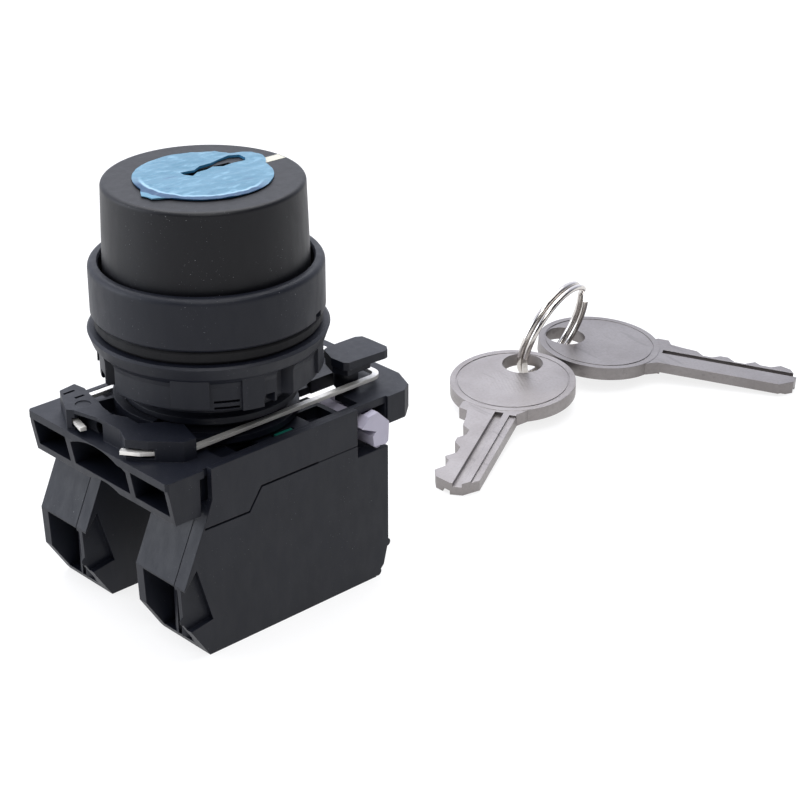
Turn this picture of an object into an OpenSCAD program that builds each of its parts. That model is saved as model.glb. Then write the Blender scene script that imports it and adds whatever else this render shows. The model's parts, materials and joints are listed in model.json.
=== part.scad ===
// Selector key switch for a 22 mm panel hole, with two contact blocks and two keys.
// Millimetres. Origin on the switch axis at the underside of the bezel. +Z points out
// of the panel, +X runs along the contact blocks, +Y from the near block to the far one.

/* [Head] */
// bezel outer diameter
bezel_d = 29; // [28:0.5:30]
// bezel height above the panel
bezel_h = 6.64; // [5:0.1:9]
// knob diameter at the bezel
knob_base_d = 25.7; // [24:0.1:26]
// knob diameter at the top
knob_top_d = 24.8; // [23:0.1:26]
// height of the knob top above the panel
knob_top_z = 16.65; // [14:0.1:22]
// diameter of the film over the lock face
film_d = 16.9; // [14:0.1:18]

/* [Barrel and nut] */
// outer diameter of the threaded barrel
barrel_d = 21.9; // [21:0.1:22.3]
// bore of the barrel
barrel_bore_d = 18.4; // [17:0.1:19]
// ring nut flange diameter
nut_flange_d = 30; // [29:0.1:32]
// ring nut body diameter
nut_body_d = 27.4; // [26:0.1:29]

/* [Collar] */
// top of the collar plate
collar_top = -13.2; // [-15:0.1:-12]
// underside of the collar box
collar_foot = -19; // [-22:0.1:-17]
// half width of the collar
collar_half = 14.1; // [13:0.1:15]
// clip strip thickness
strip_t = 0.8; // [0.4:0.05:0.9]
// clip strip height
strip_h = 0.5; // [0.4:0.05:0.9]

/* [Contact blocks] */
// distance from the axis to the centre plane of each block
block_pitch = 10; // [9.5:0.1:10.5]
// block width
block_w = 9.6; // [9:0.1:9.9]
// underside of the blocks
block_foot = -38; // [-42:0.5:-36]
// plunger travel
travel = 2; // [1.5:0.1:2.5]

/* [Keys] */
// key head diameter
key_head_d = 19; // [18:0.5:24]
// key thickness
key_t = 2; // [1.8:0.1:2.4]
// key blade length beyond the hole centre
key_reach = 36.4; // [34:0.2:40]
// split ring centre-line radius
ring_r = 7.9; // [7.5:0.1:9]
// split ring wire radius
ring_wire = 0.5; // [0.4:0.05:0.7]

/* [Show] */
// node to draw, or all

/* [Hidden] */
$fn = 64;
fine = 128;
e = 0.01;
bh = block_w / 2;
slot_turn = -6;
rod_r = 7.7;
hole_gap = 6.3;
key_lift = 3.6;
key_tilt = asin((key_lift - key_t / 2) / key_reach);
ring_lean = 18;
ring_pos = [75.4, 13];
ring_turn = 12;
key_turn = [208, -59.3];
screw_x = 11.55;

// ---------- helpers ----------

// ring between two radii and two heights
module tube(r1, r0, z0, z1) {
  translate([0, 0, z0]) difference() {
    cylinder(r = r1, h = z1 - z0, $fn = fine);
    translate([0, 0, -1]) cylinder(r = r0, h = z1 - z0 + 2, $fn = fine);
  }
}

// box from two corners
module span(a, b) {
  translate(a) cube(b - a);
}

// profile drawn in X and Z, standing between two Y values
module upright(y0, y1) {
  translate([0, y1, 0]) rotate([90, 0, 0]) linear_extrude(y1 - y0) children();
}

// ring sector between two angles
module sector(r1, r0, a0, a1, z0, z1) {
  am = (a0 + a1) / 2;
  far = 2 * r1;
  intersection() {
    tube(r1, r0, z0, z1);
    translate([0, 0, z0 - 1]) linear_extrude(z1 - z0 + 2)
      polygon([[0, 0], far * [cos(a0), sin(a0)], far * [cos(am), sin(am)], far * [cos(a1), sin(a1)]]);
  }
}

// outline of a strip of width w along a path
function norm2(v) = v / norm(v);
function left_of(v) = [-v[1], v[0]];
function miter(p, i) =
  let (n = len(p),
       a = i > 0 ? norm2(p[i] - p[i - 1]) : norm2(p[1] - p[0]),
       b = i < n - 1 ? norm2(p[i + 1] - p[i]) : norm2(p[n - 1] - p[n - 2]),
       m = norm2(left_of(a) + left_of(b)))
  m / (m * left_of(a));
function strip(p, w) = concat(
  [for (i = [0 : len(p) - 1]) p[i] + miter(p, i) * w / 2],
  [for (i = [len(p) - 1 : -1 : 0]) p[i] - miter(p, i) * w / 2]);
function arc(c, r, a0, a1, n) = [for (i = [0 : n]) c + r * [cos(a0 + (a1 - a0) * i / n), sin(a0 + (a1 - a0) * i / n)]];

// ---------- head ----------

module bezel_ring() color([0.14, 0.15, 0.19]) difference() {
  rotate_extrude($fn = fine) polygon(concat(
    [[9.3, 0], [bezel_d / 2 - 0.25, 0], [bezel_d / 2, 0.3]],
    arc([bezel_d / 2 - 0.8, bezel_h - 0.8], 0.8, 0, 90, 6),
    [[13.35, bezel_h], [13.15, bezel_h - 0.3], [13.15, 1.2], [9.3, 1.2]]));
  // locating notch in the lower edge
  rotate([0, 0, -62]) span([13.6, -0.8, -e], [15, 0.8, 1]);
}

module threaded_barrel() color([0.12, 0.13, 0.16]) {
  pitch = 1.5;
  r = barrel_d / 2;
  rotate_extrude($fn = fine) polygon(concat(
    [[barrel_bore_d / 2, 0], [r, 0], [r, -7.4]],
    [for (i = [0 : 1], k = [0 : 3]) [k == 1 || k == 2 ? r - 0.7 : r, -7.6 - pitch * (i + [0, 0.3, 0.5, 0.8][k])]],
    [[r, -11.1], [9.65, -11.3], [9.65, -12.8], [r, -13], [r, -13.8], [r - 0.3, -14.1],
    [barrel_bore_d / 2, -14.1]]));
}

module gasket() color([0.05, 0.05, 0.06]) rotate_extrude($fn = fine)
  polygon([[11.05, 0], [13.7, 0], [14.1, -0.5], [14.1, -1.4], [13.8, -1.8], [11.05, -1.8]]);

module lock_cylinder() color([0.70, 0.66, 0.55]) difference() {
  tube(9.1, 6.3, -4, 13.2);
  // locking grooves for the wafers
  for (a = [0, 90]) rotate([0, 0, slot_turn + a]) span([-6.9, -2.4, 1.4], [6.9, 2.4, 12.9]);
}

module pusher_guide() color([0.75, 0.74, 0.70]) difference() {
  translate([0, 0, -11.4]) cylinder(r = 9.1, h = 1.6, $fn = fine);
  for (s = [-1, 1]) translate([0, s * rod_r, -12]) cylinder(r = 0.85, h = 3);
  translate([0, 0, -12]) cylinder(r = 2.4, h = 3);
}

// ---------- turning parts ----------

module knob() color([0.10, 0.10, 0.12]) difference() {
  rotate_extrude($fn = fine) polygon(concat(
    [[8.3, knob_top_z]],
    arc([knob_top_d / 2 - 0.55, knob_top_z - 0.55], 0.55, 90, 3, 6),
    [[knob_base_d / 2, 1.6], [10.6, 1.6], [10.6, 13.6], [6.5, 13.6], [6.5, 15.9], [8.3, 15.9]]));
  translate([0, 0, knob_top_z - 0.4]) linear_extrude(1) pointer_plan();
}

module pointer_plan() intersection() {
  rotate([0, 0, -3]) translate([8.9, -0.8]) square([4, 1.6]);
  circle(r = knob_top_d / 2 - 0.5, $fn = fine);
}

module pointer_mark() color([0.88, 0.86, 0.78])
  translate([0, 0, knob_top_z - 0.38]) linear_extrude(0.4) offset_in() pointer_plan();

// shrinks a plan slightly so that an inlay sits free in its pocket
module offset_in() translate([0.05, 0]) scale([0.995, 0.995]) children();

module lock_film() color([0.35, 0.66, 0.86]) translate([0, 0, knob_top_z + 0.12]) difference() {
  union() {
    cylinder(r = film_d / 2, h = 0.4, $fn = fine);
    // torn flap towards the near side
    linear_extrude(0.3) polygon([[-7, 1], [-9.9, -0.8], [-9.6, -2.4], [-8.4, -3.3], [-5, -5]]);
    // torn flap over the pointer
    linear_extrude(0.3) polygon([[5, 5], [9.2, 3.4], [10.1, 1.6], [9.4, -0.6], [6.6, -3.4]]);
  }
  translate([0, 0, -1]) linear_extrude(3) rotate([0, 0, slot_turn]) key_tear();
}

module key_tear() polygon([
  [-2.9, 1.9], [-2.6, 0.6], [-1, 0.1], [1.1, 0.1], [2.1, 0.4], [6.8, 0.2], [7.4, 0.9],
  [7, 2.3], [1.4, 2.2], [0.4, 1.6], [-1.2, 1.5]]);

module lock_plug() color([0.78, 0.76, 0.72]) difference() {
  union() {
    translate([0, 0, -3.8]) cylinder(r = 6.2, h = 20, $fn = fine);
    translate([0, 0, 15.95]) cylinder(r = 8.15, h = knob_top_z - 15.87, $fn = fine);
    span([-1.8, -1.8, -8.2], [1.8, 1.8, -3.7]);
  }
  rotate([0, 0, slot_turn]) {
    // key slot
    span([-2.4, 0.05, -2.5], [5.2, 2.35, 20]);
    // slots for the wafers
    for (i = [1 : 5]) span([-7, -2.25, wafer_z(i) - 0.1], [7, 3.9, wafer_z(i) + 1.1]);
  }
}

function wafer_z(i) = -0.4 + 2.4 * i;

module wafer(i) color([0.80, 0.72, 0.45]) rotate([0, 0, slot_turn])
  translate([0, 0, wafer_z(i)]) linear_extrude(1) difference() {
    translate([-5.5, -2.1]) square([10.95, 4.75]);
    translate([-2.5 - 0.12 * i, -0.1]) square([7.3, 2.6]);
  }
module wafer_1() wafer(1);
module wafer_2() wafer(2);
module wafer_3() wafer(3);
module wafer_4() wafer(4);
module wafer_5() wafer(5);

module cam_rotor() color([0.80, 0.79, 0.74]) {
  difference() {
    translate([0, 0, -7]) cylinder(r = 8.8, h = 2.6, $fn = fine);
    span([-1.85, -1.85, -8], [1.85, 1.85, 0]);
  }
  // two stepped ramps, each rising over a quarter turn
  for (side = [-90, 90], k = [0 : 4])
    sector(8.8, 6.6, side + 20 + 15 * k, side + (k == 4 ? 104 : 35 + 15 * k),
      -7 - travel * (14 + 15 * k) / 90 + 0.05, -6.9);
}

module pusher(side) color([0.85, 0.84, 0.80]) translate([0, side * rod_r, -15.5]) {
  cylinder(r = 0.8, h = 8.4);
  translate([0, 0, 2.2]) cylinder(r = 1.05, h = 0.8);
}
module pusher_near() pusher(-1);
module pusher_far() pusher(1);

// ---------- ring nut ----------

module ring_nut() color([0.13, 0.14, 0.17]) rotate([0, 0, -7]) difference() {
  r = nut_body_d / 2;
  union() {
    rotate_extrude($fn = fine) polygon([
      [11, -1.85], [nut_flange_d / 2 - 0.3, -1.85], [nut_flange_d / 2, -2.15], [r + 0.8, -3.6],
      [r + 0.15, -4.4], [r, -5], [r, -7.9], [r - 0.2, -8.1], [11, -8.1]]);
    // bosses
    for (a = [0, 180]) {
      sector(r + 0.55, 12, 39 + a, 58 + a, -7.5, -3);
      sector(r + 0.45, 12, 74 + a, 86 + a, -8.1, -3);
      sector(r + 0.4, 12, 128 + a, 144 + a, -7.5, -3);
    }
  }
  for (a = [0, 180]) {
    // wedge-shaped wrench pockets
    for (p = [100, 176]) rotate([0, 0, p + a]) {
      translate([12.3, 0, -8.2]) linear_extrude(4.4) polygon([[0, -0.8], [3, -2.4], [3, 2.2], [0, 0.4]]);
      span([12, -3.6, -8.2], [15, -1.8, -6.8]);
    }
    // two ledges between the bosses
    for (z = [-6.7, -7.5]) sector(r + 1, r - 0.6, 60 + a, 73 + a, z - 0.3, z);
  }
}

// ---------- collar ----------

module collar_plan() polygon([
  [-18.2, -collar_half], [-12.6, -collar_half], [-12.6, -13.7], [17, -13.7], [17, -collar_half],
  [20, -collar_half], [21.5, -13.2], [23, -9.8], [23, 9.8], [21.5, 13.2], [20, collar_half],
  [17, collar_half], [17, 13.7], [-12.6, 13.7], [-12.6, collar_half], [-18.2, collar_half]]);

// plan of the raised yoke, with the far post and the near hook
yoke_plan = [
  [-12.8, 11.4], [-15.3, 11], [-17.9, 6], [-17.3, 5.2], [-16.5, 1.6], [-16.5, -3], [-17.6, -5.5],
  [-16, -7.8], [-13, -10.9], [-11.2, -11], [-9.9, -7], [-9.6, -6], [-13.8, -3.1], [-13.7, -0.9], [-14.6, 1.1],
  [-14.2, 3.5], [-13.5, 5.6], [-13.3, 7], [-12.6, 9.5]];

module collar_base() color([0.13, 0.14, 0.17]) {
  difference() {
    union() {
      translate([0, 0, collar_top - 1]) linear_extrude(1) collar_plan();
      // front box
      upright(-collar_half, collar_half)
        polygon([[-18.2, collar_top], [-13.3, collar_top], [-13.3, collar_foot], [-17.1, collar_foot]]);
      // rear box with its bevelled lower edge
      intersection() {
        translate([0, 0, -20]) linear_extrude(7) collar_plan();
        upright(-15, 15) polygon([[16.9, collar_top], [24, collar_top], [24, -14.6], [20.4, -17],
          [16.9, -17]]);
      }
    }
    // bore for the barrel
    translate([0, 0, -20]) cylinder(r = 11.2, h = 10, $fn = fine);
    // windows along both sides, above the block tops
    for (s = [-1, 1]) {
      span([-9, s > 0 ? 5.1 : -12.9, -15], [13, s > 0 ? 12.9 : -5.5, -12]);
      // pockets in the front face beside the centre window
      upright(s > 0 ? 6.6 : -13.3, s > 0 ? 13.3 : -6.6)
        polygon([[-19, -14.4], [-14.3, -14.4], [-14.3, -18], [-19, -18]]);
      // chamfers at the front corners of the box
      translate([-18.2, s * collar_half, -20]) rotate([0, 0, 45]) cube([0.5, 0.5, 20], center = true);
    }
    // gap beside the near window
    span([8.6, -8.6, -15], [16.4, -5, -12]);
    // centre window, arched, opening on the empty middle bay
    translate([-20, 0, 0]) rotate([90, 0, 90]) linear_extrude(8) intersection() {
      translate([-5.6, -17.9]) square([11.2, 5]);
      translate([0, -24.6]) circle(r = 11.3, $fn = fine);
    }
    // arch under the centre window
    translate([-20, 0, -24.9]) rotate([90, 0, 90]) cylinder(r = 6.6, h = 8, $fn = fine);
    // hollow of the rear box
    span([16.8, -8.6, -18], [21.6, 8.6, -14.2]);
  }
  yoke();
  // wall around the barrel and its tie to the yoke
  sector(12.3, 11.2, 128, 196, collar_top - e, -10.9);
  translate([0, 0, collar_top - e]) linear_extrude(1.9) polygon(strip([[-13.7, 7.1], [-10, 6.3]], 0.6));
  // lever pin
  translate([15.6, -7.8, collar_top - 0.8]) cylinder(r = 0.7, h = 5.2);
  span([14.6, -8.8, collar_top - 1], [16.6, -6.9, collar_top]);
  // stiffening ribs beside the bore
  for (s = [-1, 1]) span([11.9, s > 0 ? 4.4 : -5.2, collar_top - 1], [17, s > 0 ? 5.2 : -4.4, -12.4]);
}

module yoke() difference() {
  translate([0, 0, collar_top - e]) linear_extrude(2.7) polygon(yoke_plan);
  // room for the barrel and the hollow beside it
  translate([0, 0, -14]) cylinder(r = 12.2, h = 5, $fn = fine);
  // channel for the clip
  translate([0, 0, -12.8]) linear_extrude(1.2) polygon(strip(clip_path, 1.1));
  // window at the far end and the arched hole in its back
  span([-19, 0.5, collar_top], [-15.7, 5.2, -11]);
  translate([-18, 1.9, -12.3]) rotate([0, 90, 0]) cylinder(r = 1, h = 6);
  // slots and a shallow oval mark in the top
  span([-15.6, 9.6, -10.9], [-13.9, 10, -9]);
  span([-15.2, 7.7, -10.9], [-13.8, 8.1, -9]);
  translate([-15.4, 5.9, -10.62]) cylinder(r = 1, h = 1);
}

clip_half = concat(
  [[19.4, 0]],
  arc([18, 8.7], 1.4, 0, 90, 5),
  arc([-11.8, 8.3], 1.8, 90, 133, 3),
  [[-16.8, 5.9]]);
clip_near = concat(
  [[-17.9, -4.9], [-16.5, -6.9], [-15.6, -7.6], [-12.4, -9.75], [-11.4, -10.1]],
  arc([18, -8.7], 1.4, 270, 360, 5));
clip_path = concat(clip_near, clip_half, [[-17.6, 3]]);

module wire_clip() color([0.80, 0.79, 0.76]) translate([0, 0, -12.2 - strip_h / 2])
  linear_extrude(strip_h) polygon(strip(clip_path, strip_t));

module lock_lever() color([0.13, 0.14, 0.17]) difference() {
  union() {
    translate([0, 0, -9.4]) linear_extrude(1.1) polygon([
      [13.6, -5.9], [14.6, -5.5], [19.2, -5.6], [20, -6.1], [20.1, -7.5], [20.1, -10.6],
      [19.5, -11.4], [18.9, -11.5], [13.2, -11.1], [12.7, -10.6], [12.6, -8.4]]);
    translate([0, 0, -10.4]) linear_extrude(1.2)
      polygon([[13.8, -5.9], [16.9, -5.8], [17.3, -10.6], [13.4, -10.6], [12.8, -8.4]]);
    translate([15.6, -7.8, -13.15]) cylinder(r = 1.6, h = 3.5);
  }
  translate([15.6, -7.8, -14]) cylinder(r = 0.75, h = 5.25);
}

// ---------- contact block, drawn about its own centre plane ----------

block_outline = [
  [-12.1, -14.4], [-12.1, -17], [-13.1, -19.5], [-14.1, -21.6], [-16.85, -27.7], [-16.6, -33],
  [-13.4, block_foot], [14.2, block_foot], [15.6, -36.6], [16.4, -33.5], [16.4, -19.6], [11.2, -19.6],
  [11.2, -14.4]];
function cover_outline(top) = [
  [-12.1, top], [-12.1, -17], [-13.1, -19.5], [-14.1, -21.6], [-16.85, -27.7], [-16.6, -33],
  [-13.4, block_foot], [14.2, block_foot], [15.6, -36.6], [16.4, -33.5], [16.4, -19.6], [11.2, -19.6],
  [11.2, top]];

module block_housing() color([0.13, 0.13, 0.16]) difference() {
  union() {
    difference() {
      upright(-2.7, bh) polygon(block_outline);
      // contact chamber
      span([-8.6, -3, -36.5], [8.6, 3.5, -15.4]);
      // window for the green pad, holes for the pushers and two pockets
      span([0.6, -2.85, -16], [4.1, -0.3, -14]);
      for (s = [-1, 1]) translate([0, s * (block_pitch - rod_r), -16]) cylinder(r = 1.15, h = 3);
      span([-5.2, -2, -16], [-1.7, 1.1, -14]);
      span([6.6, -1.7, -16], [10.4, 2, -14]);
      // terminal chambers at both ends
      for (s = [-1, 1]) {
        upright(-3, 3.4) polygon([for (p = [[18, -27.9], [15, -27.9], [14.2, -25.4], [9.2, -25.4],
          [9.2, -36.9], [18, -36.9]]) [s * p[0], p[1]]]);
        translate([s * screw_x, 0.1, -40]) cylinder(r = 1.7, h = 5);
        span([s > 0 ? 8.5 : -10, -1.6, -27.1], [s > 0 ? 10 : -8.5, 1.6, -26.3]);
      }
      // grip groove on the outer side
      span([-8, bh - 0.3, -24.4], [9, bh + 1, -23.6]);
    }
    // split guides for the screwdriver
    for (s = [-1, 1]) translate([s * screw_x, 0.1, 0]) difference() {
      tube(2.6, 2.15, -37, -30.8);
      translate([s * 3, 0, -34]) cube([4, 0.7, 8], center = true);
      translate([-s * 3.2, 0, -34]) cube([4, 8, 8], center = true);
    }
  }
  // chamfer along the foot
  translate([0, bh, block_foot]) rotate([45, 0, 0]) cube([40, 0.5, 0.5], center = true);
}

module block_cover(top) color([0.16, 0.16, 0.18]) difference() {
  union() {
    upright(-bh, -3.95) polygon(cover_outline(top));
    intersection() {
      upright(-bh, -2.8) polygon(cover_outline(top));
      span([-20, -6, -40], [20, 0, -18]);
    }
    // small nibs on the rear and front edges
    for (p = [[16.2, -33.6], [14.6, -37.4], [-16.6, -32.3]]) translate([p[0], -bh + 0.9, p[1]])
      rotate([90, 0, 0]) cylinder(r = 0.55, h = 0.9, $fn = 24);
  }
  // three-cornered finger recess at the terminal end
  translate([0, -bh - 1, 0]) upright(0, 1.8)
    polygon([[-14.9, -25.6], [-12.7, -33.2], [-18, -34], [-18, -27.9], [-16.9, -28]]);
  // parting line across the label side
  translate([0, -bh - 1, 0]) upright(0, 1.25) polygon(strip(
    [[-13.4, -20.6], [-6.5, -20.7], [-4.5, -17.9], [4.6, -17.9]], 0.28));
  translate([0, -bh - 1, 0]) upright(0, 1.08) polygon(strip([[4.4, -17.9], [11.4, -17.9]], 0.18));
  // terminal opening edge
  for (s = [-1, 1]) span([s > 0 ? 14.6 : -18, -3.3, -36.6], [s > 0 ? 18 : -14.6, -2, -28.2]);
}

module plunger() color([0.05, 0.30, 0.22]) difference() {
  union() {
    span([-1.2, -2.7, -16.5], [4.9, 3.3, -15.6]);
    span([1, -2.5, -15.7], [3.7, -0.7, -14.3]);
    span([-1.4, -1, -24.9], [1.4, 1.6, -16.4]);
  }
  span([-3, -0.85, -23.35], [3, 1.45, -22.65]);
}

// stacked coil with two links that join the turns
module spring_coil() color([0.72, 0.72, 0.72]) translate([0, 0.3, 0]) {
  n = 7;
  z0 = -36.15;
  step = (-25.25 - z0) / (n - 1);
  for (i = [0 : n - 1]) translate([0, 0, z0 + i * step]) rotate_extrude($fn = 32)
    translate([1.4, 0]) circle(r = 0.25, $fn = 16);
  for (i = [0 : n - 2]) rotate([0, 0, 180 * i])
    translate([1.4, 0, z0 + i * step]) cylinder(r = 0.18, h = step, $fn = 16);
}

module contact_bridge() color([0.80, 0.55, 0.35]) {
  span([-6.2, -0.8, -23.3], [6.2, 1.4, -22.7]);
  for (s = [-1, 1]) translate([s * 4.6, 0.3, -23.8]) cylinder(r = 0.9, h = 0.55);
}

module fixed_contact(s) color([0.80, 0.60, 0.38]) difference() {
  union() {
    span([s > 0 ? 3.6 : -13.6, -1.5, -27], [s > 0 ? 13.6 : -3.6, 1.5, -26.4]);
    translate([s * 4.6, 0.3, -26.5]) cylinder(r = 0.9, h = 0.6);
  }
  translate([s * screw_x, 0.1, -28]) cylinder(r = 1.25, h = 3);
}

module clamp_plate(s) color([0.75, 0.75, 0.74]) translate([s * screw_x, 0.1, 0]) difference() {
  union() {
    span([-2.2, -2.2, -29.7], [2.2, 2.2, -28.9]);
    for (y = [-2.2, 1.7]) span([-2.2, y, -29.2], [2.2, y + 0.5, -27.6]);
  }
  translate([0, 0, -31]) cylinder(r = 1.3, h = 5);
}

module terminal_screw(s) color([0.75, 0.75, 0.74]) translate([s * screw_x, 0.1, 0]) difference() {
  union() {
    translate([0, 0, -31.4]) cylinder(r = 1.9, h = 1.6);
    translate([0, 0, -30]) cylinder(r = 1.2, h = 4.1);
  }
  // cross recess in the head
  for (a = [0, 90]) rotate([0, 0, a]) translate([0, 0, -31.4]) cube([2.6, 0.5, 1.6], center = true);
}

module block_latch() color([0.66, 0.64, 0.70]) difference() {
  union() {
    upright(-bh, 4) polygon([
      [13.2, -14.6], [14.7, -14.35], [16.6, -16.2], [16.45, -18.9], [16, -19.25], [14, -18.95],
      [13.8, -17.5], [14.4, -17], [12, -15.9]]);
    // round foot it swings on
    translate([14.9, 4.3, -18.8]) rotate([90, 0, 0]) cylinder(r = 0.7, h = 8.8);
  }
  span([13.2, -3.6, -16.6], [15.6, 2.8, -14]);
}

module near_housing() translate([0, -block_pitch, 0]) block_housing();
module near_cover() translate([0, -block_pitch, 0]) block_cover(-12.9);
module near_plunger() translate([0, -block_pitch, 0]) plunger();
module near_spring() translate([0, -block_pitch, 0]) spring_coil();
module near_bridge() translate([0, -block_pitch, 0]) contact_bridge();
module near_contact_front() translate([0, -block_pitch, 0]) fixed_contact(-1);
module near_contact_rear() translate([0, -block_pitch, 0]) fixed_contact(1);
module near_clamp_front() translate([0, -block_pitch, 0]) clamp_plate(-1);
module near_clamp_rear() translate([0, -block_pitch, 0]) clamp_plate(1);
module near_screw_front() translate([0, -block_pitch, 0]) terminal_screw(-1);
module near_screw_rear() translate([0, -block_pitch, 0]) terminal_screw(1);
module near_latch() translate([0, -block_pitch, 0]) block_latch();
module far_housing() translate([0, block_pitch, 0]) block_housing();
module far_cover() translate([0, block_pitch, 0]) block_cover(-14.4);
module far_plunger() translate([0, block_pitch, 0]) plunger();
module far_spring() translate([0, block_pitch, 0]) spring_coil();
module far_bridge() translate([0, block_pitch, 0]) contact_bridge();
module far_contact_front() translate([0, block_pitch, 0]) fixed_contact(-1);
module far_contact_rear() translate([0, block_pitch, 0]) fixed_contact(1);
module far_clamp_front() translate([0, block_pitch, 0]) clamp_plate(-1);
module far_clamp_rear() translate([0, block_pitch, 0]) clamp_plate(1);
module far_screw_front() translate([0, block_pitch, 0]) terminal_screw(-1);
module far_screw_rear() translate([0, block_pitch, 0]) terminal_screw(1);
module far_latch() translate([0, block_pitch, 0]) block_latch();

// ---------- keys, drawn flat about the ring hole ----------

module key_body() color([0.70, 0.68, 0.68]) difference() {
  union() {
    translate([5.4, 0, -key_t / 2]) cylinder(r = key_head_d / 2, h = key_t, $fn = fine);
    translate([0, 0, 0.05 - key_t / 2]) linear_extrude(key_t - 0.1) polygon([
      [10, 5.4], [13.9, 4.6], [15.4, 3.5], [34.2, 3.5], [36.2, 1.6], [key_reach, -0.2], [35.2, -2.6],
      [33.6, -3.3], [32.2, -2.2], [30.6, -2.2], [29.6, -3], [28.2, -1.7], [26.6, -1.7], [25.4, -2.9],
      [24.2, -2.9], [23, -1.9], [21.6, -1.9], [20.4, -3.2], [18, -3.5], [16.2, -3.9], [15.6, -5.3],
      [13.9, -5.3], [13.2, -4.6], [10, -5.4]]);
  }
  translate([0, 0, -key_t]) cylinder(r = 3.1, h = 2 * key_t);
  // raised rim line on both faces
  for (s = [-1, 1]) translate([5.4, 0, s * key_t / 2]) difference() {
    cylinder(r = key_head_d / 2 - 0.9, h = 0.2, center = true, $fn = fine);
    cylinder(r = key_head_d / 2 - 1.15, h = 1, center = true, $fn = fine);
  }
  // blade grooves
  span([15.4, 0.2, key_t / 2 - 0.65], [40, 1.5, 3]);
  span([15.4, -1.4, -3], [40, -0.2, -key_t / 2 + 0.65]);
  span([15.8, 2.5, key_t / 2 - 0.35], [40, 4, 3]);
}

module key_place(i) translate([
    ring_pos[0] + (2 * i - 1) * hole_gap * cos(ring_turn),
    ring_pos[1] + (2 * i - 1) * hole_gap * sin(ring_turn), block_foot + key_lift])
  rotate([0, key_tilt, key_turn[i]]) children();

module key_one() key_place(0) key_body();
module key_two() key_place(1) rotate([180, 0, 0]) key_body();

module split_ring() color([0.80, 0.80, 0.80]) translate([ring_pos[0], ring_pos[1], block_foot + key_lift])
  rotate([ring_lean, 0, ring_turn]) translate([0, 0, sqrt(ring_r * ring_r - hole_gap * hole_gap)])
    rotate([90, 0, 0])
    for (s = [-1, 1]) translate([0, 0, s * 0.48]) rotate_extrude($fn = fine)
      translate([ring_r, 0]) circle(r = ring_wire, $fn = 24);

// ---------- assembly ----------

bezel_ring();
threaded_barrel();
gasket();
lock_cylinder();
pusher_guide();
knob();
pointer_mark();
lock_film();
lock_plug();
cam_rotor();
wafer_1();
wafer_2();
wafer_3();
wafer_4();
wafer_5();
pusher_near();
pusher_far();
ring_nut();
collar_base();
wire_clip();
lock_lever();
near_housing();
near_cover();
near_plunger();
near_spring();
near_bridge();
near_contact_front();
near_contact_rear();
near_clamp_front();
near_clamp_rear();
near_screw_front();
near_screw_rear();
near_latch();
far_housing();
far_cover();
far_plunger();
far_spring();
far_bridge();
far_contact_front();
far_contact_rear();
far_clamp_front();
far_clamp_rear();
far_screw_front();
far_screw_rear();
far_latch();
key_one();
key_two();
split_ring();
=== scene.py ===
"""Selector key switch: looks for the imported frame, in metres and in the frame's own axes."""
import json
import math
import random

import bmesh
import bpy
from mathutils import Matrix, Vector, geometry, noise


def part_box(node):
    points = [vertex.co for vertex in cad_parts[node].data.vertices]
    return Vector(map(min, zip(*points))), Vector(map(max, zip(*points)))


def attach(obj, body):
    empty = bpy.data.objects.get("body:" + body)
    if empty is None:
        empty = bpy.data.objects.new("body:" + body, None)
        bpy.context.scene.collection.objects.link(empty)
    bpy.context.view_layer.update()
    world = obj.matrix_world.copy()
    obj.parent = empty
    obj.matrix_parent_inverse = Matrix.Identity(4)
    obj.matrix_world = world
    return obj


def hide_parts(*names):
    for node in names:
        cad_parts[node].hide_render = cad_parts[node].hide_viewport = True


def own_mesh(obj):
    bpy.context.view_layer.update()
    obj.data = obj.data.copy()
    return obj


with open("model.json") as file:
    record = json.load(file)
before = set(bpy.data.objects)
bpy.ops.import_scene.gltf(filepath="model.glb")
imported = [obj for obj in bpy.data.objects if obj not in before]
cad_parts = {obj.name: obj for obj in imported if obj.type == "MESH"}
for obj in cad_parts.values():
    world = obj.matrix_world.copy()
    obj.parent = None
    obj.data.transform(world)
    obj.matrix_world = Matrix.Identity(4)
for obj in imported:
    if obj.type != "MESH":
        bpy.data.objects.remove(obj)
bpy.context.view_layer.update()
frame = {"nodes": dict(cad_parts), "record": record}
MM = 0.001
random.seed(22)

# ---------------------------------------------------------------- materials


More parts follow.
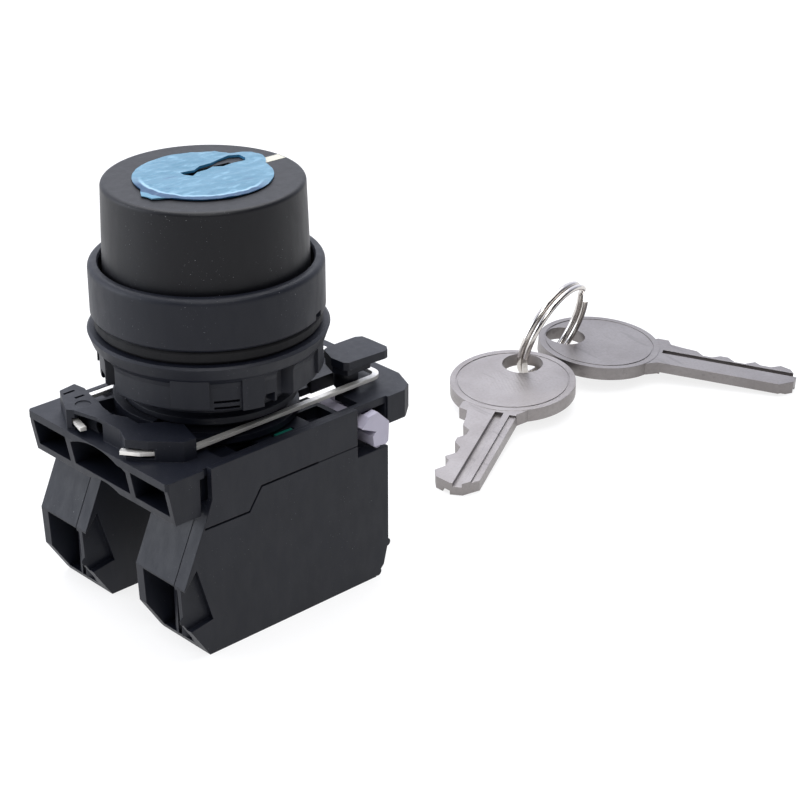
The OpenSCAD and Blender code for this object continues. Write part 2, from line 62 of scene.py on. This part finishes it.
class Nodes:
    """A small helper for building one node material."""

    def __init__(self, name):
        self.mat = bpy.data.materials.new(name)
        self.mat.use_nodes = True
        self.tree = self.mat.node_tree
        self.shader = self.tree.nodes["Principled BSDF"]
        self.coords = self.add("ShaderNodeTexCoord").outputs["Object"]

    def add(self, kind, **values):
        node = self.tree.nodes.new(kind)
        for key, value in values.items():
            if hasattr(node, key):
                setattr(node, key, value)
            else:
                node.inputs[key.replace("_", " ")].default_value = value
        return node

    def link(self, out, into):
        self.tree.links.new(out, into)

    def noise(self, scale, detail=3.0, rough=0.5, stretch=None):
        source = self.coords
        if stretch:
            mapping = self.add("ShaderNodeMapping")
            mapping.inputs["Scale"].default_value = stretch
            self.link(source, mapping.inputs["Vector"])
            source = mapping.outputs["Vector"]
        node = self.add("ShaderNodeTexNoise")
        node.inputs["Scale"].default_value = scale
        node.inputs["Detail"].default_value = detail
        node.inputs["Roughness"].default_value = rough
        self.link(source, node.inputs["Vector"])
        return node.outputs["Fac"]

    def ramp(self, fac, stops):
        node = self.add("ShaderNodeValToRGB")
        while len(node.color_ramp.elements) < len(stops):
            node.color_ramp.elements.new(0.5)
        for element, (pos, value) in zip(node.color_ramp.elements, stops):
            element.position = pos
            element.color = (value,) * 3 + (1,) if isinstance(value, (int, float)) else (*value, 1)
        self.link(fac, node.inputs["Fac"])
        return node.outputs["Color"]

    def mix(self, fac, a, b, mode="MIX"):
        node = self.add("ShaderNodeMix")
        node.data_type = "RGBA"
        node.blend_type = mode
        for value, slot in ((fac, 0), (a, 6), (b, 7)):
            if hasattr(value, "is_linked"):
                self.link(value, node.inputs[slot])
            elif slot == 0:
                node.inputs[0].default_value = value
            else:
                node.inputs[slot].default_value = (*value, 1)
        return node.outputs[2]

    def bump(self, height, strength, distance, normal=None):
        node = self.add("ShaderNodeBump")
        node.inputs["Strength"].default_value = strength
        node.inputs["Distance"].default_value = distance
        self.link(height, node.inputs["Height"])
        if normal is not None:
            self.link(normal, node.inputs["Normal"])
        return node.outputs["Normal"]

    def soft_edge(self, radius):
        node = self.add("ShaderNodeBevel")
        node.samples = 4
        node.inputs["Radius"].default_value = radius
        return node.outputs["Normal"]


def plastic(name, dark, light, rough=(0.42, 0.6), grain=0.25, dust=0.0, shine=0.5):
    """Moulded plastic: slow colour drift, fine grain, scuffs and a little dust."""
    n = Nodes(name)
    colour = n.mix(n.ramp(n.noise(90, 4, 0.6), [(0.3, 0.0), (0.75, 1.0)]), dark, light)
    scuff = n.noise(700, 6, 0.7, (1, 1, 0.35))
    worn = tuple(min(1, 1.6 * v + 0.006) for v in light)
    colour = n.mix(n.ramp(scuff, [(0.6, 0.0), (0.8, 0.3)]), colour, worn)
    if dust:
        clusters = n.ramp(n.noise(160, 2, 0.5), [(0.45, 0.0), (0.62, 1.0)])
        fine = n.ramp(n.noise(5600, 2, 0.5), [(0.72, 0.0), (0.76, dust)])
        specks = n.mix(clusters, (0, 0, 0), fine)
        colour = n.mix(specks, colour, (0.30, 0.30, 0.32))
    n.link(colour, n.shader.inputs["Base Color"])
    n.link(n.ramp(scuff, [(0.25, rough[0]), (0.8, rough[1])]), n.shader.inputs["Roughness"])
    normal = n.bump(n.noise(5200, 2, 0.6), grain, 0.02 * MM, n.soft_edge(0.12 * MM))
    normal = n.bump(n.noise(240, 3, 0.5), 0.08, 0.15 * MM, normal)
    n.link(normal, n.shader.inputs["Normal"])
    n.shader.inputs["Specular IOR Level"].default_value = shine
    return n.mat


def metal(name, base, tint, rough=(0.2, 0.4), grain=0.15, scale=1800, edge=0.08 * MM, knurl=None,
          metallic=1.0, scratch=0.35):
    """Plain metal with drawn or stamped grain, dulled patches and fine scratches.

    knurl is the centre and radius of a round field of fine raised dots, as on a key's head.
    """
    n = Nodes(name)
    colour = n.mix(n.ramp(n.noise(160, 4, 0.6), [(0.35, 0.0), (0.7, 1.0)]), base, tint)
    lines = n.noise(scale, 4, 0.6)
    dull = tuple(0.7 * v for v in base)
    colour = n.mix(n.ramp(lines, [(0.45, 0.0), (0.8, 0.3)]), colour, dull)
    scratches = n.ramp(n.noise(900, 2, 0.5, (1, 0.08, 1)), [(0.66, 0.0), (0.7, scratch)])
    colour = n.mix(scratches, colour, tuple(0.55 * v for v in base))
    normal = n.bump(lines, grain, 0.02 * MM, n.soft_edge(edge))
    if knurl:
        centre, radius = knurl
        reach = n.add("ShaderNodeVectorMath", operation="DISTANCE")
        n.link(n.coords, reach.inputs[0])
        reach.inputs[1].default_value = centre
        dots = n.add("ShaderNodeTexVoronoi", feature="F1")
        dots.inputs["Scale"].default_value = 2000
        dots.inputs["Randomness"].default_value = 0.0
        flat = n.add("ShaderNodeMapping")
        flat.inputs["Rotation"].default_value = (0, 0, math.radians(30))
        flat.inputs["Scale"].default_value = (1, 1, 0)
        n.link(n.coords, flat.inputs["Vector"])
        n.link(flat.outputs["Vector"], dots.inputs["Vector"])
        inside = n.add("ShaderNodeMath", operation="LESS_THAN")
        n.link(reach.outputs["Value"], inside.inputs[0])
        inside.inputs[1].default_value = radius
        round_dots = n.ramp(dots.outputs["Distance"], [(0.1, 1.0), (0.35, 0.0)])
        pits = n.mix(inside.outputs[0], (0, 0, 0), round_dots)
        normal = n.bump(pits, 0.5, 0.03 * MM, normal)
        colour = n.mix(n.ramp(pits, [(0.0, 0.0), (1.0, 0.35)]), colour, dull)
    n.link(colour, n.shader.inputs["Base Color"])
    n.shader.inputs["Metallic"].default_value = metallic
    n.link(n.ramp(lines, [(0.3, rough[0]), (0.75, rough[1])]), n.shader.inputs["Roughness"])
    n.link(normal, n.shader.inputs["Normal"])
    return n.mat


def film_material():
    """Thin blue protective film: patchy, with a painted highlight on its raised creases and painted shade in
    their hollows, a painted highlight line along the fold and a painted shade band on the rolled rim.
    """
    n = Nodes("blue_film")
    creases = n.noise(420, 5, 0.65, (1, 2.2, 1))
    patches = n.ramp(n.noise(130, 3, 0.5), [(0.35, 0.0), (0.7, 1.0)])
    colour = n.mix(patches, (0.052, 0.145, 0.215), (0.085, 0.19, 0.27))
    # painted highlight on the raised crease ridges and painted shade in the hollows between them, from the
    # same noise that drives the bump
    colour = n.mix(n.ramp(creases, [(0.52, 0.0), (0.68, 0.8)]), colour, (0.17, 0.30, 0.40))
    colour = n.mix(n.ramp(creases, [(0.28, 0.7), (0.4, 0.0)]), colour, (0.035, 0.10, 0.18))
    facing = n.add("ShaderNodeSeparateXYZ")
    shape = n.add("ShaderNodeNewGeometry")
    n.link(shape.outputs["Normal"], facing.inputs[0])
    rim = n.ramp(facing.outputs["Z"], [(0.25, 1.0), (0.8, 0.0)])
    colour = n.mix(rim, colour, (0.035, 0.16, 0.30))
    flat = n.add("ShaderNodeMapping")
    flat.inputs["Scale"].default_value = (1, 1, 0)
    n.link(n.coords, flat.inputs["Vector"])
    reach = n.add("ShaderNodeVectorMath", operation="LENGTH")
    n.link(flat.outputs["Vector"], reach.inputs[0])
    # the painted highlight and painted shade bands below are laid only on the side facing the camera
    near = n.add("ShaderNodeVectorMath", operation="DOT_PRODUCT")
    n.link(n.coords, near.inputs[0])
    near.inputs[1].default_value = (-0.73, -0.69, 0)
    waver = n.add("ShaderNodeMath", operation="MULTIPLY_ADD")
    n.link(n.noise(700, 2, 0.5), waver.inputs[0])
    waver.inputs[1].default_value = 0.5 * MM
    n.link(reach.outputs["Value"], waver.inputs[2])
    side = n.add("ShaderNodeMapRange")
    n.link(near.outputs["Value"], side.inputs["Value"])
    side.inputs["From Min"].default_value = 1.0 * MM
    side.inputs["From Max"].default_value = 4.0 * MM
    # painted highlight line along the fold, painted shade band on the rolled rim, and the flaps outside the
    # rim: start and end radius in mm, and tone
    bands = ((7.55, 7.8, (0.22, 0.36, 0.47)), (7.95, 8.15, (0.012, 0.05, 0.11)),
             (9.1, 9.25, (0.085, 0.20, 0.29)))
    for start, end, tone in bands:
        band = n.add("ShaderNodeMapRange")
        n.link(waver.outputs["Value"], band.inputs["Value"])
        band.inputs["From Min"].default_value = start * MM
        band.inputs["From Max"].default_value = end * MM
        share = n.add("ShaderNodeMath", operation="MULTIPLY")
        n.link(band.outputs["Result"], share.inputs[0])
        n.link(side.outputs["Result"], share.inputs[1])
        colour = n.mix(share.outputs["Value"], colour, tone)
    n.link(colour, n.shader.inputs["Base Color"])
    n.link(n.ramp(creases, [(0.3, 0.3), (0.7, 0.5)]), n.shader.inputs["Roughness"])
    n.link(n.bump(creases, 0.35, 0.1 * MM), n.shader.inputs["Normal"])
    n.shader.inputs["Specular IOR Level"].default_value = 0.25
    return n.mat


def key_metal(name, head, share):
    """Nickelled key with a fine dotted field on its round head; share scales how bright it is."""
    base, tint = (tuple(share * v for v in tone) for tone in ((0.40, 0.375, 0.37), (0.33, 0.305, 0.30)))
    return metal(name, base, tint, (0.34, 0.5), 0.15, scale=2400, knurl=(head, 4.2 * MM))


# centres of the two key heads
HEAD_ONE = Vector((64.48, 9.16, -34.79)) * MM
HEAD_TWO = Vector((84.31, 9.68, -34.79)) * MM

MATS = {
    "black_plastic": plastic("black_plastic", (0.0030, 0.0040, 0.0085), (0.0055, 0.0068, 0.0125),
                             dust=0.5, shine=0.3),
    "knob_plastic": plastic("knob_plastic", (0.0025, 0.0027, 0.0042), (0.0045, 0.0047, 0.0068),
                            (0.4, 0.54), dust=0.8, shine=0.28),
    "gasket_rubber": plastic("gasket_rubber", (0.004, 0.004, 0.005), (0.007, 0.007, 0.008),
                             (0.6, 0.8), 0.5, shine=0.25),
    "pointer_cream": plastic("pointer_cream", (0.43, 0.42, 0.36), (0.48, 0.47, 0.40), (0.5, 0.6), shine=0.2),
    "blue_film": film_material(),
    "lock_steel": metal("lock_steel", (0.60, 0.59, 0.57), (0.52, 0.51, 0.50)),
    "lock_body_metal": metal("lock_body_metal", (0.56, 0.55, 0.53), (0.48, 0.47, 0.45), (0.35, 0.55)),
    "wafer_brass": metal("wafer_brass", (0.76, 0.58, 0.28), (0.66, 0.48, 0.22)),
    "white_nylon": plastic("white_nylon", (0.68, 0.67, 0.63), (0.76, 0.75, 0.71)),
    "green_plastic": plastic("green_plastic", (0.004, 0.10, 0.07), (0.008, 0.16, 0.12), (0.3, 0.45)),
    "latch_grey": plastic("latch_grey", (0.36, 0.34, 0.42), (0.45, 0.43, 0.52), (0.45, 0.6)),
    "clip_steel": metal("clip_steel", (0.84, 0.82, 0.78), (0.78, 0.76, 0.72), (0.35, 0.5), 0.03,
                        edge=0.05 * MM, metallic=0.7, scratch=0.0),
    "contact_copper": metal("contact_copper", (0.72, 0.42, 0.26), (0.60, 0.33, 0.20)),
    "terminal_steel": metal("terminal_steel", (0.62, 0.61, 0.60), (0.52, 0.51, 0.50)),
    "key_nickel": key_metal("key_nickel", HEAD_ONE, 0.72),
    "ring_nickel": metal("ring_nickel", (0.60, 0.57, 0.54), (0.52, 0.49, 0.46), (0.14, 0.26)),
}

for part in frame["record"]["subparts"]:
    piece = frame["nodes"][part["node"]]
    piece.data.materials.clear()
    piece.data.materials.append(MATS[part["material_slot"]])

# the plug's steel is painted dark as painted shade, since it is only seen in the shade under the film, and
# the second key's nickel is painted darker than the first as painted shade
plug = frame["nodes"]["lock_plug"].data
plug.materials[0] = metal("lock_steel_shaded", (0.07, 0.07, 0.075), (0.045, 0.045, 0.05), (0.4, 0.6))
second_key = frame["nodes"]["key_two"].data
second_key.materials[0] = key_metal("key_nickel_second_painted_shade", HEAD_TWO, 0.6)


def own_piece(name, bm, material, body, stands_for):
    """Puts a piece modelled here in the place of a CAD node, on the same body."""
    mesh = bpy.data.meshes.new(name)
    bm.to_mesh(mesh)
    bm.free()
    mesh.materials.append(MATS[material])
    obj = bpy.data.objects.new(name, mesh)
    bpy.context.collection.objects.link(obj)
    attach(obj, body)
    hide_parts(stands_for)


# ---------------------------------------------------------------- torn film over the lock face

FILM_LOW, FILM_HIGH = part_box("lock_film")[0][2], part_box("lock_film")[1][2]
FILM_R = 8.5 * MM
# outline of the tear, in mm
TEAR = [(-1.7, 2.3), (-1.9, 1.3), (-1.3, 0.3), (-0.2, 0.9), (1.1, 0.7), (2.3, 1.0), (3.5, 0.5), (5.2, 0.6),
        (6.8, 0.3), (7.3, 0.9), (7.5, 2.3), (6.3, 3.0), (4.5, 2.8), (3.0, 2.3), (1.3, 2.3), (0.0, 1.7)]
# torn flaps outside the rim: angle in degrees and extra radius in mm
FLAPS = [(-12, 0), (-4, 0.8), (3, 1.35), (9, 1.5), (15, 1.4), (21, 1.0), (28, 0),
         (172, 0), (178, 0.6), (184, 1.3), (189, 1.1), (194, 1.3), (200, 0.5), (206, 0)]


def film_rim():
    """Outline of the film: a slightly wavy round with two torn flaps, as points in metres."""
    rim = []
    for step in range(180):
        angle = step * 2.0
        extra = 0.0
        turn = angle - 360 if angle > 340 else angle
        for (a0, r0), (a1, r1) in zip(FLAPS, FLAPS[1:]):
            if a0 <= turn < a1:
                extra = (r0 + (r1 - r0) * (turn - a0) / (a1 - a0)) * MM
        out = Vector((math.cos(math.radians(angle)), math.sin(math.radians(angle))))
        wave = 0.06 * MM * noise.noise(Vector((out.x * 4, out.y * 4, 7)))
        rim.append(out * (FILM_R + wave + extra))
    return rim


def inside(point, ring):
    """Whether a point lies inside a closed outline."""
    hit = False
    for a, b in zip(ring, ring[1:] + ring[:1]):
        if (a.y > point.y) != (b.y > point.y):
            if point.x < (b.x - a.x) * (point.y - a.y) / (b.y - a.y) + a.x:
                hit = not hit
    return hit


def gap_to(point, ring):
    """Distance from a point to a closed outline."""
    best = 1.0
    for a, b in zip(ring, ring[1:] + ring[:1]):
        near, share = geometry.intersect_point_line(point.to_3d(), a.to_3d(), b.to_3d())
        near = (a if share < 0 else b if share > 1 else near.to_2d())
        best = min(best, (point - near).length)
    return best


def film_height(point, to_tear, to_rim):
    """Creased sheet: long soft folds, finer wrinkles, lips turned up along the tear, rim drawn down.

    Numbers below are in mm or are shares of the film's height.
    """
    place = point.to_3d() / MM
    folds = noise.noise(Vector((place.x * 0.22, place.y * 0.5, 3.1)))
    crease = 1 - abs(noise.noise(Vector((place.x * 0.35 + place.y * 0.25, place.y * 0.8, 9.4)))) * 2.4
    wrinkle = noise.noise(Vector((place.x * 1.5, place.y * 2.6, 1.7)))
    span = FILM_HIGH - FILM_LOW
    level = 0.52 + 0.16 * folds + 0.16 * max(0.0, crease) + 0.10 * wrinkle
    level += 0.30 * max(0.0, 1 - to_tear / (0.9 * MM)) * (0.6 + 0.4 * math.sin(place.x * 1.1))
    level -= 0.22 * max(0.0, 1 - to_rim / (0.7 * MM))
    return FILM_LOW + span * min(0.99, max(0.25, level))


def torn_film():
    """The film as a closed thin body: a creased top over a flat underside, with the tear cut out."""
    rim = film_rim()
    tear = [Vector(p) * MM for p in TEAR]
    points, pitch = rim + tear, 0.3 * MM
    for i in range(-36, 37):
        for j in range(-32, 33):
            spot = Vector((i + random.uniform(-0.3, 0.3), j + random.uniform(-0.3, 0.3))) * pitch
            if inside(spot, rim) and not inside(spot, tear):
                if gap_to(spot, rim) > 0.15 * MM and gap_to(spot, tear) > 0.15 * MM:
                    points.append(spot)
    count, cut = len(rim), len(tear)
    edges = [(i, (i + 1) % count) for i in range(count)]
    edges += [(count + i, count + (i + 1) % cut) for i in range(cut)]
    spots, _, faces, *_ = geometry.delaunay_2d_cdt(points, edges, [], 0, 1e-7)
    bm = bmesh.new()
    top, low = [], []
    for spot in spots:
        height = film_height(spot, gap_to(spot, tear), gap_to(spot, rim))
        top.append(bm.verts.new((spot.x, spot.y, height)))
        low.append(bm.verts.new((spot.x, spot.y, FILM_LOW + 0.02 * MM)))
    for face in faces:
        middle = sum((spots[i] for i in face), Vector((0, 0))) / 3
        if inside(middle, rim) and not inside(middle, tear):
            upper = bm.faces.new([top[i] for i in face])
            upper.normal_update()
            if upper.normal.z < 0:
                upper.normal_flip()
            upper.smooth = True
            lower = bm.faces.new([low[i] for i in face])
            lower.normal_update()
            if lower.normal.z > 0:
                lower.normal_flip()
    place = {vert: index for index, vert in enumerate(top)}
    for edge in [e for e in bm.edges if e.is_boundary and e.verts[0] in place]:
        a, b = (place[v] for v in edge.verts)
        bm.faces.new((top[a], top[b], low[b], low[a]))
        edge.smooth = False
    bmesh.ops.recalc_face_normals(bm, faces=bm.faces)
    loose = [v for v in bm.verts if not v.link_faces]
    bmesh.ops.delete(bm, geom=loose, context="VERTS")
    return bm


own_piece("torn_film", torn_film(), "blue_film", "key_rotor", "lock_film")

# ---------------------------------------------------------------- split ring, wound as one wire


RING_R, RING_WIRE, HOLE_GAP, COIL_STEP = 7.9, 0.46, 6.3, 0.48  # mm


def turned(degrees, axis):
    return Matrix.Rotation(math.radians(degrees), 4, axis)


def wound_ring():
    """Two close turns of one wire that steps from the lower turn to the upper one, with cut ends."""
    rise = math.sqrt(RING_R ** 2 - HOLE_GAP ** 2) * MM
    place = Matrix.Translation(Vector((75.4, 13, -34.4)) * MM) @ turned(12, "Z") @ turned(18, "X")
    place = place @ Matrix.Translation((0, 0, rise)) @ turned(90, "X")
    start, steps, sides = math.radians(60), 300, 16
    sweep = 4 * math.pi - 0.62
    bm = bmesh.new()
    loops = []
    for i in range(steps + 1):
        run = sweep * i / steps
        climb = min(1.0, max(0.0, (run - (2 * math.pi - 0.56)) / 0.5))
        offset = COIL_STEP * (2 * climb * climb * (3 - 2 * climb) - 1)
        angle = start + run
        out = Vector((math.cos(angle), math.sin(angle), 0))
        loop = []
        for k in range(sides):
            turn = 2 * math.pi * k / sides
            spot = out * (RING_R + RING_WIRE * math.cos(turn))
            spot.z = offset + RING_WIRE * math.sin(turn)
            loop.append(bm.verts.new(place @ (spot * MM)))
        loops.append(loop)
    for a, b in zip(loops, loops[1:]):
        for k in range(sides):
            bm.faces.new((a[k], a[(k + 1) % sides], b[(k + 1) % sides], b[k])).smooth = True
    for end in (loops[0], loops[-1]):
        cap = bm.faces.new(end)
        for edge in cap.edges:
            edge.smooth = False
    bmesh.ops.recalc_face_normals(bm, faces=bm.faces)
    return bm


own_piece("wound_ring", wound_ring(), "ring_nickel", "split_ring", "split_ring")

# ---------------------------------------------------------------- plunger springs get meshes of their own

# each spring stands on its foot at z = -36.4 mm; its mesh is only copied here, not shortened
for side, y in (("near", -9.7), ("far", 10.3)):
    spring = frame["nodes"][side + "_spring"]
    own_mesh(spring)

# ---------------------------------------------------------------- stage, light, camera

FLOOR = -38 * MM


def floor_material():
    n = Nodes("studio_floor")
    drift = n.ramp(n.noise(30, 3, 0.5), [(0.3, 0.0), (0.7, 1.0)])
    colour = n.mix(drift, (0.17, 0.17, 0.172), (0.18, 0.18, 0.182))
    n.link(colour, n.shader.inputs["Base Color"])
    n.shader.inputs["Roughness"].default_value = 0.8
    n.shader.inputs["Emission Color"].default_value = (1, 1, 1, 1)
    n.shader.inputs["Emission Strength"].default_value = 0.8
    return n.mat


bpy.ops.mesh.primitive_plane_add(size=6, location=(0, 0, FLOOR))
floor = bpy.context.object
floor.name = "studio_floor"
floor.data.materials.append(floor_material())


def studio_world():
    """A light tent: bright behind and to the left of the object, dark in front of it."""
    world = bpy.data.worlds.new("studio")
    bpy.context.scene.world = world
    world.use_nodes = True
    tree = world.node_tree
    coords = tree.nodes.new("ShaderNodeTexCoord")
    side = tree.nodes.new("ShaderNodeVectorMath")
    side.operation = "DOT_PRODUCT"
    side.inputs[1].default_value = Vector((0.30, 0.90, 0.32)).normalized()
    tree.links.new(coords.outputs["Generated"], side.inputs[0])
    spread = tree.nodes.new("ShaderNodeMapRange")
    spread.inputs["From Min"].default_value = -1.0
    tree.links.new(side.outputs["Value"], spread.inputs["Value"])
    levels = tree.nodes.new("ShaderNodeValToRGB")
    stops = ((0.0, (0.04, 0.04, 0.05)), (0.42, (0.07, 0.07, 0.085)), (0.62, (0.60, 0.64, 0.76)),
             (0.8, (1.25, 1.30, 1.48)))
    while len(levels.color_ramp.elements) < len(stops):
        levels.color_ramp.elements.new(0.5)
    for element, (place, colour) in zip(levels.color_ramp.elements, stops):
        element.position = place
        element.color = (*colour, 1)
    tree.links.new(spread.outputs["Result"], levels.inputs["Fac"])
    tree.links.new(levels.outputs["Color"], tree.nodes["Background"].inputs["Color"])
    tree.nodes["Background"].inputs["Strength"].default_value = 1.0


def softbox(name, place, aim, size, power, tint=(1, 1, 1)):
    data = bpy.data.lights.new(name, "AREA")
    data.shape = "RECTANGLE"
    data.size, data.size_y = size
    data.energy = power
    data.color = tint
    lamp = bpy.data.objects.new(name, data)
    bpy.context.collection.objects.link(lamp)
    lamp.location = place
    lamp.rotation_euler = (Vector(aim) - Vector(place)).to_track_quat("-Z", "Y").to_euler()


studio_world()
softbox("overhead", (0.10, 0.10, 0.42), (0.06, 0.03, FLOOR), (0.5, 0.5), 3.2)
softbox("left_rear", (-0.40, 0.30, 0.12), (0, 0, -0.01), (0.4, 0.35), 1.6, (0.90, 0.94, 1.0))
softbox("front_fill", (-0.16, -0.26, 0.34), (0, 0, -0.01), (0.2, 0.2), 0.9)

camera = bpy.data.objects.new("camera", bpy.data.cameras.new("camera"))
bpy.context.collection.objects.link(camera)
camera.data.sensor_width = 36
camera.data.lens = 97.95
camera.location = (-0.15227, -0.19598, 0.10479)
look = Vector((0.6191, 0.6569, -0.4303)).to_track_quat("-Z", "Y")
camera.rotation_mode = "QUATERNION"
camera.rotation_quaternion = look
camera.data.clip_start = 0.01
bpy.context.scene.camera = camera
bpy.context.scene.view_settings.view_transform = "Standard"
